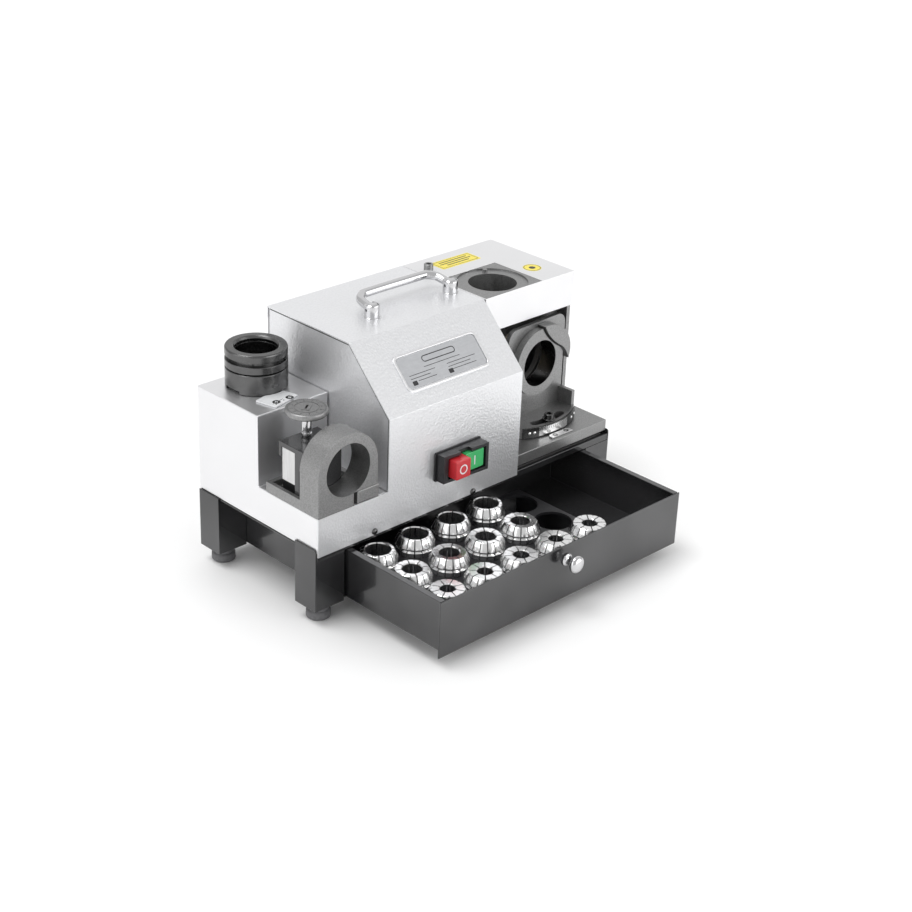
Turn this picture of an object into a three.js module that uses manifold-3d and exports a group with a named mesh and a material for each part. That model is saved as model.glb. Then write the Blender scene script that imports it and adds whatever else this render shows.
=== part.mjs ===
// Bench-top drill bit sharpener on a stand with a collet drawer. Units: millimetres, +Z up.
// Machine frame while building: x = 0 at the casing's left side, y = 0 at its front face,
// z = 0 on top of the stand. The exported group is moved so that its origin is at the centre
// of the bottom of the whole object's box.
import * as THREE from 'three';
import { mergeVertices } from 'three/addons/utils/BufferGeometryUtils.js';
import Module from 'manifold-3d';

const wasm = await Module();
wasm.setup();

// ---------- Driving dimensions ----------
const GAP = 0.3; // clearance between pieces that rest on each other
const SHEET = 1.5; // folded sheet metal
const LENGTH = 411.7; // casing and base plate, left to right
const DEPTH = 182.6; // casing, front to back
const SLAB_TOP = 37.2; // low front-left part of the casing
const BLOCK_TOP = 112.1; // left block
const BLOCK_FRONT = 89.3;
const CASING_TOP = 173.2;
const SLOPE_FOOT_Z = 113.5; // where the front face turns into the slope
const SLOPE_HEAD_Y = 59.2; // where the slope meets the top
const CASING_LEFT = 88;
const CASING_RIGHT = 269.2;
const HEAD_RIGHT = 403;
const HEAD_FRONT = 56.7;
const SKIRT_BOTTOM = 134.9;
const PLATE_BOTTOM = 2.5; // iron base plate of the head
const PLATE_TOP = 15.2;
const PLATE_FRONT = 5.1;
const STAND_FRONT = SHEET + GAP;
const RAIL_BOTTOM = -7.6; // front rail above the drawer
const LEG_WIDTH = 34.6;
const LEG_DEPTH = 30.7;
const LEG_BOTTOM = -63.5;
const FLOOR = -79.5;
const DRAWER_PULL = 129.6; // how far the drawer stands open
const DRAWER_LENGTH = 175.8;
const DRAWER_LEFT = 37;
const DRAWER_TOP = -8;
const DRAWER_BOTTOM = -59.7;
const PANEL_TOP = -8.3;
const PANEL_BOTTOM = -67.9;
const COLLET_TOP = -13;
const COLLET_LENGTH = 45;
const COLLET_RADIUS = 20.5;
const COLLET_PITCH_X = 49.2;
const COLLET_PITCH_Y = 48.5;
const FIRST_COLLET = [66.4, -10.2]; // rear row, left column
const DECK_TOP = COLLET_TOP - 18;
const CHUCK = [45.9, 147.5];
const CHUCK_RADIUS = 31;
const BORE_RADIUS = 21;
const SHAFT_Y = 122; // motor and grinding wheel axis
const SHAFT_Z = 92;
const SWIVEL = [344, 101]; // vertical axis of the swivelling port
const SWIVEL_SETTING = 3; // degrees
const SECTOR_RADIUS = 81;
const PORT_RADIUS = 25.5;
const TOP_PORT = [313.4, 90.8];
const RING = [37, 77.5]; // centre of the setting bracket's ring (x, z)
const DIAL = [31.2, 53.9]; // axis of the dial knob

// ---------- Materials ----------
function finish(color, roughness, metalness) {
  return new THREE.MeshStandardMaterial({ color, roughness, metalness });
}

const looks = {
  textured_silver: finish(0xc9cbce, 0.45, 0.6),
  satin_silver: finish(0xc4c6ca, 0.35, 0.7),
  cast_grey: finish(0x6d6e70, 0.55, 0.6),
  black_sheet: finish(0x1d1e20, 0.25, 0.4),
  black_oxide: finish(0x2a2a2c, 0.35, 0.7),
  chrome: finish(0xd8dadc, 0.1, 1),
  bright_steel: finish(0xb4b7ba, 0.25, 1),
  dark_plastic: finish(0x202124, 0.4, 0),
  red_plastic: finish(0xc2262e, 0.35, 0),
  green_plastic: finish(0x3aa85a, 0.35, 0),
  foot_rubber: finish(0x6a6b6e, 0.7, 0),
  label_plate: finish(0xb9bcc2, 0.35, 0.8),
  white_plate: finish(0xe9eaec, 0.4, 0.1),
  motor_paint: finish(0x4b5157, 0.5, 0.3),
  abrasive: finish(0x8a7f70, 0.9, 0),
};

// ---------- Solids and booleans ----------
function toSolid(geometry) {
  const bare = geometry.clone();
  bare.deleteAttribute('normal');
  bare.deleteAttribute('uv');
  const merged = mergeVertices(bare, 1e-4);
  const index = merged.index.array;
  const place = merged.attributes.position.array;
  const corners = [];
  let volume = 0;
  for (let i = 0; i < index.length; i += 3) {
    const [a, b, c] = [index[i], index[i + 1], index[i + 2]];
    if (a === b || b === c || c === a) continue;
    corners.push(a, b, c);
    const p = new THREE.Vector3().fromArray(place, 3 * a);
    const q = new THREE.Vector3().fromArray(place, 3 * b);
    const r = new THREE.Vector3().fromArray(place, 3 * c);
    volume += p.dot(q.cross(r));
  }
  if (volume < 0) corners.reverse();
  const mesh = new wasm.Mesh({
    numProp: 3,
    vertProperties: new Float32Array(place),
    triVerts: new Uint32Array(corners),
  });
  return new wasm.Manifold(mesh);
}

function toGeometry(solid) {
  const mesh = solid.getMesh();
  const geometry = new THREE.BufferGeometry();
  geometry.setAttribute('position', new THREE.BufferAttribute(mesh.vertProperties, 3));
  geometry.setIndex(new THREE.BufferAttribute(mesh.triVerts, 1));
  geometry.computeVertexNormals();
  return geometry;
}

function join(...geometries) {
  return toGeometry(geometries.map(toSolid).reduce((sum, solid) => sum.add(solid)));
}

function cut(geometry, ...tools) {
  return toGeometry(tools.map(toSolid).reduce((rest, tool) => rest.subtract(tool), toSolid(geometry)));
}

// ---------- Basic shapes ----------
function box(x0, x1, y0, y1, z0, z1) {
  const geometry = new THREE.BoxGeometry(x1 - x0, y1 - y0, z1 - z0);
  return geometry.translate((x0 + x1) / 2, (y0 + y1) / 2, (z0 + z1) / 2);
}

function mirrored(x0, x1) {
  return [LENGTH - x1, LENGTH - x0];
}

function outline(points) {
  return new THREE.Shape(points.map(([u, v]) => new THREE.Vector2(u, v)));
}

// Outline (x, y) raised from z0 to z1.
function prismZ(shape, z0, z1, curveSegments = 16) {
  const geometry = new THREE.ExtrudeGeometry(shape, { depth: z1 - z0, bevelEnabled: false, curveSegments });
  return geometry.translate(0, 0, z0);
}

// Outline (y, z) running from x0 to x1.
function prismX(shape, x0, x1, curveSegments = 16) {
  const geometry = new THREE.ExtrudeGeometry(shape, { depth: x1 - x0, bevelEnabled: false, curveSegments });
  const turn = new THREE.Matrix4().makeBasis(
    new THREE.Vector3(0, 1, 0), new THREE.Vector3(0, 0, 1), new THREE.Vector3(1, 0, 0));
  return geometry.applyMatrix4(turn).translate(x0, 0, 0);
}

// Outline (x, z) running from y0 back to y1.
function prismY(shape, y0, y1, curveSegments = 16) {
  const geometry = new THREE.ExtrudeGeometry(shape, { depth: y1 - y0, bevelEnabled: false, curveSegments });
  const turn = new THREE.Matrix4().makeBasis(
    new THREE.Vector3(1, 0, 0), new THREE.Vector3(0, 0, 1), new THREE.Vector3(0, -1, 0));
  return geometry.applyMatrix4(turn).translate(0, y1, 0);
}

function cylinderZ(x, y, radius, z0, z1, sides = 32) {
  const geometry = new THREE.CylinderGeometry(radius, radius, z1 - z0, sides).rotateX(Math.PI / 2);
  return geometry.translate(x, y, (z0 + z1) / 2);
}

function cylinderY(x, z, radius, y0, y1, sides = 32) {
  return new THREE.CylinderGeometry(radius, radius, y1 - y0, sides).translate(x, (y0 + y1) / 2, z);
}

function cylinderX(y, z, radius, x0, x1, sides = 32) {
  const geometry = new THREE.CylinderGeometry(radius, radius, x1 - x0, sides).rotateZ(Math.PI / 2);
  return geometry.translate((x0 + x1) / 2, y, z);
}

// Profile of [radius, height] points, low to high, turned about a vertical axis.
function turned(profile, sides = 32) {
  const points = profile.map(([r, h]) => new THREE.Vector2(r, h));
  return new THREE.LatheGeometry(points, sides).rotateX(Math.PI / 2);
}

// A bent sheet: the outer face follows the points (y, z), its thickness goes to their right.
function bentSheet(points, thickness) {
  const inner = points.map((point, i) => {
    const before = points[Math.max(i - 1, 0)];
    const after = points[Math.min(i + 1, points.length - 1)];
    const last = i === points.length - 1;
    const d0 = new THREE.Vector2(point[0] - before[0], point[1] - before[1]);
    const d1 = new THREE.Vector2(after[0] - point[0], after[1] - point[1]);
    if (i === 0) d0.copy(d1);
    if (last) d1.copy(d0);
    const n0 = new THREE.Vector2(d0.y, -d0.x).normalize();
    const n1 = new THREE.Vector2(d1.y, -d1.x).normalize();
    const mitre = n0.clone().add(n1).normalize();
    const reach = thickness / mitre.dot(n0);
    return [point[0] + mitre.x * reach, point[1] + mitre.y * reach];
  });
  return outline([...points, ...inner.reverse()]);
}

// ---------- Scene ----------
const machine = new THREE.Group();

function add(name, geometry, look, parent = machine) {
  const mesh = new THREE.Mesh(geometry, looks[look].clone());
  mesh.name = name;
  parent.add(mesh);
  return mesh;
}

// ---------- Stand ----------
function addStand() {
  const plateThickness = 2;
  add('stand_top', join(
    box(0, LENGTH, STAND_FRONT, DEPTH - 1.1, -GAP - plateThickness, -GAP),
    box(0, LENGTH, STAND_FRONT, STAND_FRONT + SHEET, RAIL_BOTTOM, -GAP),
  ), 'black_sheet');

  const flangeTop = -GAP - plateThickness - GAP;
  const inside = LEG_WIDTH - SHEET - GAP;
  const rearStart = DEPTH - 1.1 - LEG_DEPTH;
  const rows = [
    // The front legs' outer cheeks overlap the casing's sides a little.
    { row: 'front', y0: STAND_FRONT, top: RAIL_BOTTOM - GAP, reach: LEG_WIDTH, sideTop: 4, corner: 3 },
    { row: 'rear', y0: rearStart, top: flangeTop, reach: inside, sideTop: -GAP, corner: 0.8 },
  ];
  for (const side of ['left', 'right']) {
    const span = (x0, x1) => (side === 'left' ? [x0, x1] : mirrored(x0, x1));
    for (const { row, y0, top, reach, sideTop, corner } of rows) {
      const y1 = y0 + LEG_DEPTH;
      const outside = -GAP - SHEET;
      const cheek = new THREE.Shape();
      cheek.moveTo(y0, LEG_BOTTOM);
      cheek.lineTo(y1, LEG_BOTTOM);
      cheek.lineTo(y1, sideTop);
      cheek.lineTo(y0 + corner, sideTop);
      cheek.quadraticCurveTo(y0, sideTop, y0, sideTop - corner);
      cheek.closePath();
      add(`leg_${row}_${side}`, join(
        prismX(cheek, ...span(outside, -GAP), 3),
        box(...span(outside, reach), y0, y0 + SHEET, LEG_BOTTOM, top),
        box(...span(outside, inside), y1 - SHEET, y1, LEG_BOTTOM, flangeTop),
        box(...span(outside, inside), y0, y1, LEG_BOTTOM, LEG_BOTTOM + SHEET),
      ), 'black_sheet');
      addFoot(`foot_${row}_${side}`, span(15.4, 15.4)[0], y0 + 16);
    }
  }
}

function addFoot(name, x, y) {
  const top = LEG_BOTTOM - GAP;
  const profile = [
    [0, FLOOR], [11.4, FLOOR], [12.2, FLOOR + 1.5], [11.8, FLOOR + 8], [10.4, FLOOR + 9.2],
    [10.4, top - 2.5], [7.5, top - 1.5], [7.5, top], [0, top],
  ];
  add(name, turned(profile, 14).translate(x, y, 0), 'foot_rubber');
}

function addDrawerHousing() {
  const wallTop = -2 - 2 * GAP;
  const wallBottom = DRAWER_BOTTOM - 1.7;
  const front = STAND_FRONT + SHEET + GAP;
  const back = DEPTH - 2.6;
  const outer = LEG_WIDTH - SHEET;
  const walls = [];
  for (const span of [(a, b) => [a, b], mirrored]) {
    walls.push(box(...span(outer, LEG_WIDTH), front, back, wallBottom, wallTop));
    walls.push(box(...span(outer, LEG_WIDTH + 11), front, back, wallBottom, DRAWER_BOTTOM - GAP));
  }
  walls.push(box(outer, LENGTH - outer, back - SHEET, back, wallBottom, wallTop));
  add('drawer_housing', join(...walls), 'black_sheet');
}

// ---------- Drawer, shown pulled out ----------
function addDrawer() {
  const panelBack = SHEET - DRAWER_PULL; // shut, the panel meets the front rail
  const back = panelBack + GAP + DRAWER_LENGTH;
  const right = LENGTH - DRAWER_LEFT;
  const hem = 6.5;
  add('drawer_tray', join(
    box(DRAWER_LEFT, right, panelBack + GAP, back, DRAWER_BOTTOM, DRAWER_BOTTOM + SHEET),
    box(DRAWER_LEFT, DRAWER_LEFT + SHEET, panelBack + GAP, back, DRAWER_BOTTOM, DRAWER_TOP),
    box(right - SHEET, right, panelBack + GAP, back, DRAWER_BOTTOM, DRAWER_TOP),
    box(DRAWER_LEFT, DRAWER_LEFT + hem, panelBack + GAP, back, DRAWER_TOP - SHEET, DRAWER_TOP),
    box(right - hem, right, panelBack + GAP, back, DRAWER_TOP - SHEET, DRAWER_TOP),
    box(DRAWER_LEFT, right, back - SHEET, back, DRAWER_BOTTOM, DRAWER_TOP),
  ), 'black_sheet');

  const side = DRAWER_LEFT - 1.4;
  const returned = 7;
  const notched = side + 8; // the folded lower edge stops short of the corners
  add('drawer_front', join(
    box(side, LENGTH - side, panelBack - SHEET, panelBack, PANEL_BOTTOM, PANEL_TOP),
    box(notched, LENGTH - notched, panelBack - SHEET, panelBack + returned, PANEL_BOTTOM, PANEL_BOTTOM + SHEET),
  ), 'black_sheet');

  const knob = [
    [0, 0], [6.5, 0], [6.5, 1.6], [4.2, 2.6], [4.2, 8.5], [7.2, 10], [9, 12.5], [9, 14.5], [6.8, 17.2], [0, 18.2],
  ];
  const knobHeight = -24.3;
  const pull = turned(knob, 16).rotateX(Math.PI / 2);
  add('drawer_knob', pull.translate(LENGTH / 2, panelBack - SHEET - GAP, knobHeight), 'chrome');
  addCollets(panelBack + GAP);
}

function colletSeat(column, row) {
  return [FIRST_COLLET[0] + column * COLLET_PITCH_X, FIRST_COLLET[1] - row * COLLET_PITCH_Y];
}

function addCollets(deckFront) {
  const columns = 5;
  const rows = 3;
  const seatRadius = 19.5;
  const deckRight = colletSeat(columns - 1, 0)[0] + seatRadius + 4;
  const deckLeft = DRAWER_LEFT + SHEET + GAP;
  const deckBack = FIRST_COLLET[1] + seatRadius + 4;
  const floor = DRAWER_BOTTOM + SHEET + GAP;
  const deck = join(
    box(deckLeft, deckRight, deckFront, deckBack, DECK_TOP - 3, DECK_TOP),
    box(deckLeft, deckLeft + 2, deckFront, deckBack, floor, DECK_TOP),
    box(deckRight - 2, deckRight, deckFront, deckBack, floor, DECK_TOP),
  );
  const seats = [];
  for (let column = 0; column < columns; column += 1) {
    for (let row = 0; row < rows; row += 1) {
      seats.push(cylinderZ(...colletSeat(column, row), seatRadius, DECK_TOP - 4, DECK_TOP + 1, 14));
    }
  }
  add('collet_rack', cut(deck, ...seats), 'dark_plastic');

  const filled = [4, 4, 5]; // collets in each row, rear to front
  const rowBore = [12.5, 9.8, 7.4]; // the bores get smaller towards the front
  for (let row = 0; row < rows; row += 1) {
    // The rear rows leave the last seat empty; the front row is full.
    for (let column = 0; column < filled[row]; column += 1) {
      const bore = rowBore[row] + 0.25 * (column % 3);
      const [x, y] = colletSeat(column, row);
      add(`collet_${'abcde'[column]}${row + 1}`, collet(bore).translate(x, y, 0), 'bright_steel');
    }
  }
}

function collet(bore) {
  const rim = COLLET_TOP - 8;
  const bottom = COLLET_TOP - COLLET_LENGTH;
  const taper = Math.tan(THREE.MathUtils.degToRad(8));
  const shoulder = rim - 4;
  const shoulderRadius = 20;
  const footRadius = shoulderRadius - (shoulder - bottom) * taper;
  const profile = [
    [bore, bottom], [footRadius, bottom], [shoulderRadius, shoulder], [18.2, shoulder], [18.2, rim - 1],
    [COLLET_RADIUS, rim - 1], [COLLET_RADIUS, rim], [17.8, COLLET_TOP], [bore, COLLET_TOP], [bore, bottom],
  ];
  return turned(profile, 14);
}

// ---------- Casing ----------
const coverLine = [
  [0, -3.5], [0, SLOPE_FOOT_Z], [SLOPE_HEAD_Y, CASING_TOP], [DEPTH, CASING_TOP], [DEPTH, CASING_TOP - 12],
];

function addCasing() {
  const wallInset = 1;
  const wallLine = [
    [0.5, 0], [0.5, SLOPE_FOOT_Z], [SLOPE_HEAD_Y, CASING_TOP - 0.5], [DEPTH - SHEET - GAP, CASING_TOP - 0.5],
    [DEPTH - SHEET - GAP, 0],
  ];
  const strip = 12; // laps the low front strip onto the front sheet
  const cover = join(
    prismX(bentSheet(coverLine, SHEET), CASING_LEFT, CASING_RIGHT),
    box(0, CASING_LEFT + strip, 0, SHEET, coverLine[0][1], SLAB_TOP),
    prismX(outline(wallLine), CASING_LEFT + wallInset, CASING_LEFT + wallInset + SHEET),
    prismX(outline(wallLine), CASING_RIGHT - SHEET, CASING_RIGHT),
  );
  const shaftHole = cylinderX(SHAFT_Y, SHAFT_Z, 9, CASING_RIGHT - 5, CASING_RIGHT + 5, 14);
  add('main_cover', cut(cover, shaftHole), 'textured_silver');

  const wall = 2;
  const right = CASING_LEFT - GAP;
  const front = SHEET + GAP;
  const shell = join(
    box(0, right, front, DEPTH, 0, SLAB_TOP),
    box(0, right, BLOCK_FRONT, DEPTH, 0, BLOCK_TOP),
  );
  const hollow = join(
    box(wall, right - wall, front + wall, DEPTH - wall, -5, SLAB_TOP - wall),
    box(wall, right - wall, BLOCK_FRONT + wall, DEPTH - wall, -5, BLOCK_TOP - wall),
  );
  add('left_housing', cut(shell, hollow), 'satin_silver');

  const rearFront = DEPTH - SHEET;
  const slot = (x, z) => box(x, x + 3, rearFront - 1, DEPTH + 1, z, z + 30);
  const slots = [];
  for (let i = 0; i < 9; i += 1) slots.push(slot(130 + i * 10, 95));
  add('rear_panel', cut(
    box(CASING_LEFT + GAP, CASING_RIGHT - GAP, rearFront, DEPTH, 0, CASING_TOP - 12 - GAP), ...slots,
  ), 'satin_silver');

  const gland = [[0, 0], [9, 0], [9, 4], [7, 5], [7, 11], [5.5, 14], [4.5, 14], [4.5, 3], [0, 3]];
  add('cable_gland', turned(gland, 14).rotateX(-Math.PI / 2).translate(225, DEPTH + GAP, 25), 'dark_plastic');
}

function addNameplate() {
  const slope = Math.atan2(CASING_TOP - SLOPE_FOOT_Z, SLOPE_HEAD_Y);
  const width = 105;
  const height = 33.4;
  const thickness = 1;
  const lift = GAP + thickness / 2;
  const plate = new THREE.BoxGeometry(width, thickness, height);
  const mesh = add('nameplate', plate, 'label_plate');
  mesh.position.set(179.6, 26.2 - lift * Math.sin(slope), 139.9 + lift * Math.cos(slope));
  mesh.rotation.x = slope - Math.PI / 2;
}

function addSwitch() {
  const body = prismZ(outline([[150.3, -1], [150.3, -12.3], [208.7, -15.5], [208.7, -1]]), 29.6, 59);
  const flange = box(148.2, 210.8, -1.8, -GAP, 28.4, 60.2);
  const floor = -3;
  const window = box(156, 205.2, -30, floor, 33, 55.8);
  add('switch_housing', cut(join(body, flange), window), 'dark_plastic');
  const root = floor - 3.5; // leaves room for 3 mm of travel
  const low = 34.6;
  const high = 54.2;
  add('stop_button', box(158, 177.6, -22, root, low, high), 'red_plastic');
  add('start_button', box(178.4, 203.4, -14, root, low, high), 'green_plastic');
}

// ---------- Carrying handle ----------
function addHandle() {
  const hinge = { y: 95, z: 182 };
  const xs = { left: 149, right: 256 };
  const base = CASING_TOP + GAP;
  for (const [side, x] of Object.entries(xs)) {
    const post = turned([[0, base], [8.2, base], [7.7, base + 1], [7.7, 186], [6.4, 187.5], [0, 187.5]], 16);
    post.translate(x, hinge.y, 0);
    const slot = box(x - 5, x + 5, hinge.y - 5.9, hinge.y + 12, hinge.z - 5.9, hinge.z + 12);
    add(`handle_post_${side}`, cut(post, slot), 'chrome');
  }
  const path = new THREE.CatmullRomCurve3([
    new THREE.Vector3(xs.left, hinge.y, hinge.z),
    new THREE.Vector3(xs.left, hinge.y + 10, hinge.z + 1.6),
    new THREE.Vector3(xs.left + 2, hinge.y + 19, hinge.z + 3.4),
    new THREE.Vector3(xs.left + 9, hinge.y + 25, hinge.z + 4.6),
    new THREE.Vector3(xs.left + 20, hinge.y + 26.5, hinge.z + 5),
    new THREE.Vector3(xs.right - 20, hinge.y + 26.5, hinge.z + 5),
    new THREE.Vector3(xs.right - 9, hinge.y + 25, hinge.z + 4.6),
    new THREE.Vector3(xs.right - 2, hinge.y + 19, hinge.z + 3.4),
    new THREE.Vector3(xs.right, hinge.y + 10, hinge.z + 1.6),
    new THREE.Vector3(xs.right, hinge.y, hinge.z),
  ], false, 'centripetal');
  const round = new THREE.Shape().absarc(0, 0, 4.6, 0, Math.PI * 2);
  const bar = new THREE.ExtrudeGeometry(round, { steps: 26, extrudePath: path, curveSegments: 4 });
  const eyes = Object.values(xs).map((x) => cylinderX(hinge.y, hinge.z, 5.4, x - 4.7, x + 4.7, 12));
  add('handle_bar', join(bar, ...eyes), 'chrome');
}

// ---------- Setting station on the low front-left slab ----------
function addSettingStation() {
  const foot = SLAB_TOP + GAP;
  const baseTop = 48;
  const baseRight = 76;
  const baseBack = 77;
  const ringDepth = 27;
  const arch = new THREE.Shape();
  const outer = 37;
  arch.moveTo(RING[0] - outer, foot);
  arch.lineTo(RING[0] + outer, foot);
  arch.lineTo(RING[0] + outer, RING[1]);
  arch.absarc(RING[0], RING[1], outer, 0, Math.PI);
  arch.closePath();
  const stop = { x0: 48.9, top: 51, depth: 12 };
  const pocketFloor = 42;
  add('setting_bracket', cut(
    join(box(0, baseRight, 0, baseBack, foot, baseTop), prismY(arch, 0, ringDepth, 24)),
    cylinderY(RING[0], RING[1], 27, -1, ringDepth + 1, 40),
    box(4.2, baseRight - 6, ringDepth, baseBack - 5, pocketFloor, baseTop + 1),
    box(stop.x0 - 4.9, baseRight + 5, -1, stop.depth, foot - 1, stop.top + GAP),
  ), 'cast_grey');
  add('stop_block', box(stop.x0, baseRight, 0, stop.depth - GAP, foot, stop.top), 'cast_grey');

  const guideTop = 95.5;
  const guideBack = 63;
  const guideFront = ringDepth + GAP;
  add('slide_guide', cut(
    box(4.5, 52, guideFront, guideBack, pocketFloor + GAP, guideTop),
    box(4, 9.3, 39.7, 58.9, pocketFloor, 90.3), // channel for the slide plate
    box(4, 9.3, 58, guideBack + 1, pocketFloor, 80), // open below the lip
    box(4, 9.3, guideFront - 1, 33, pocketFloor, 74),
  ), 'black_oxide');
  add('slide_plate', box(5.2, 9, 40, 58.6, 56.3, 90), 'bright_steel');

  const dialTop = 125;
  const dial = [
    [0, guideTop + GAP], [4.4, guideTop + GAP], [4.4, guideTop + 3], [5.3, guideTop + 5.5], [5.3, dialTop - 9],
    [9, dialTop - 7.5], [9, dialTop - 6], [19.8, dialTop - 6], [20.6, dialTop - 5], [20.6, dialTop - 1.2],
    [19.6, dialTop], [0, dialTop],
  ];
  add('setting_knob', turned(dial, 24).translate(DIAL[0], DIAL[1], 0), 'cast_grey');
}

function addSettingPlate() {
  const width = 35;
  const depth = 24.5;
  const bottom = BLOCK_TOP + GAP;
  const turn = THREE.MathUtils.degToRad(14);
  const plate = box(0, width, 0, depth, bottom, bottom + 1.2).rotateZ(turn).translate(25, 91.7, 0);
  const chuckRoom = cylinderZ(...CHUCK, CHUCK_RADIUS + 0.5, bottom - 1, bottom + 3, 48);
  add('setting_plate', cut(plate, chuckRoom), 'white_plate');
}

// ---------- Collet chuck standing on the left block ----------
function addChuck() {
  const foot = BLOCK_TOP + GAP;
  const neckTop = 149;
  const bodyTop = 133.5;
  const body = [
    [BORE_RADIUS, foot], [30, foot], [CHUCK_RADIUS, foot + 1], [CHUCK_RADIUS, bodyTop - 0.7],
    [30.3, bodyTop], [25, bodyTop], [25, neckTop], [BORE_RADIUS, neckTop], [BORE_RADIUS, foot],
  ];
  const notch = box(-CHUCK_RADIUS - 5, -26, -10, 10, foot - 1, foot + 4);
  add('chuck_body', cut(turned(body, 32), notch).translate(...CHUCK, 0), 'black_oxide');

  const nutFoot = bodyTop + 1.2;
  const nut = [
    [25.3, nutFoot], [30.4, nutFoot], [CHUCK_RADIUS, nutFoot + 0.6], [CHUCK_RADIUS, 141.8], [30.4, 142.3],
    [27, 142.3], [27, 146.5], [30.4, 146.5], [CHUCK_RADIUS, 147], [CHUCK_RADIUS, 153.6], [30, 154.6],
    [BORE_RADIUS + 1.2, 154.6], [BORE_RADIUS, 153.4], [BORE_RADIUS, neckTop + GAP], [25.3, neckTop + GAP],
    [25.3, nutFoot],
  ];
  add('chuck_nut', turned(nut, 28).translate(...CHUCK, 0), 'black_oxide');
}

// ---------- Grinding head ----------
const castingTop = 169.5;
const portPlateBottom = 160;
const collarRadius = 27.6; // the tube that hangs below the top port's plate
const collarBottom = 140;

function addHead() {
  add('base_plate', join(
    box(CASING_RIGHT + GAP, LENGTH, PLATE_FRONT, DEPTH, PLATE_BOTTOM, PLATE_TOP),
    box(CASING_RIGHT + 4, LENGTH - 3, PLATE_FRONT + 4, DEPTH - 3, 0, PLATE_BOTTOM + 1),
  ), 'cast_grey');

  const left = CASING_RIGHT + 2.8;
  const right = HEAD_RIGHT - SHEET - GAP;
  const front = HEAD_FRONT + SHEET + GAP;
  const back = DEPTH - SHEET - GAP;
  const foot = PLATE_TOP + GAP;
  const thin = 2.6;
  const thick = 5;
  const recessBack = 72;
  const recessTop = 155;
  const chamberFront = recessBack + 6;
  const shell = box(left, right, front, back, foot, castingTop);
  const plateRoom = box(left - 1, 354.4, front - 1, 128.4, portPlateBottom - GAP, castingTop + 1);
  add('head_casting', cut(
    shell,
    box(left + thin, right - thick, front - 1, recessBack, foot - 1, recessTop),
    box(left + 6, right - 6, chamberFront, back - 6, foot + 6, recessTop),
    cylinderY(338, 88, 34, recessBack - 1, chamberFront + 1, 24),
    cylinderZ(...TOP_PORT, collarRadius + 0.6, collarBottom - 1, portPlateBottom, 32),
    cylinderX(SHAFT_Y, SHAFT_Z, 9, left - 1, left + 8, 14),
    plateRoom,
  ), 'cast_grey');

  const coverLeft = CASING_RIGHT + 0.8;
  const inner = CASING_TOP - SHEET;
  add('head_cover', cut(
    box(coverLeft, HEAD_RIGHT, HEAD_FRONT, DEPTH, SKIRT_BOTTOM, CASING_TOP),
    box(coverLeft - 1, HEAD_RIGHT - SHEET, HEAD_FRONT + SHEET, DEPTH - SHEET, SKIRT_BOTTOM - 1, inner),
    box(coverLeft + SHEET, 354.3, HEAD_FRONT + SHEET, 128.3, inner - 1, CASING_TOP + 1),
  ), 'satin_silver');

  const plateTop = CASING_TOP - GAP;
  const ledge = new THREE.Shape().absarc(...TOP_PORT, 37.3, 0, Math.PI * 2);
  const ledgeFloor = plateTop - 1.6;
  const pinAngle = THREE.MathUtils.degToRad(60);
  const pinReach = 31;
  const pinX = TOP_PORT[0] + pinReach * Math.cos(pinAngle);
  const pinY = TOP_PORT[1] + pinReach * Math.sin(pinAngle);
  const portPlate = cut(
    join(
      box(coverLeft + SHEET + GAP, 354, front, 128, portPlateBottom, plateTop),
      cylinderZ(...TOP_PORT, collarRadius, collarBottom, portPlateBottom + 1, 32),
    ),
    cylinderZ(...TOP_PORT, PORT_RADIUS, collarBottom - 1, plateTop + 1, 32),
    prismZ(ledge, ledgeFloor, plateTop + 1, 16),
  );
  const pin = cylinderZ(pinX, pinY, 2.6, ledgeFloor - 1, plateTop + 1.5, 16);
  add('top_port_plate', join(portPlate, pin), 'cast_grey');

  const screwFoot = CASING_TOP + GAP;
  const screw = [
    [0, screwFoot], [5, screwFoot], [5, screwFoot + 7], [4.4, screwFoot + 7.6], [2.6, screwFoot + 7.6],
    [2.6, screwFoot + 4], [0, screwFoot + 4],
  ];
  add('cap_screw', turned(screw, 12).translate(282, 154.5, 0), 'black_oxide');
}

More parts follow.
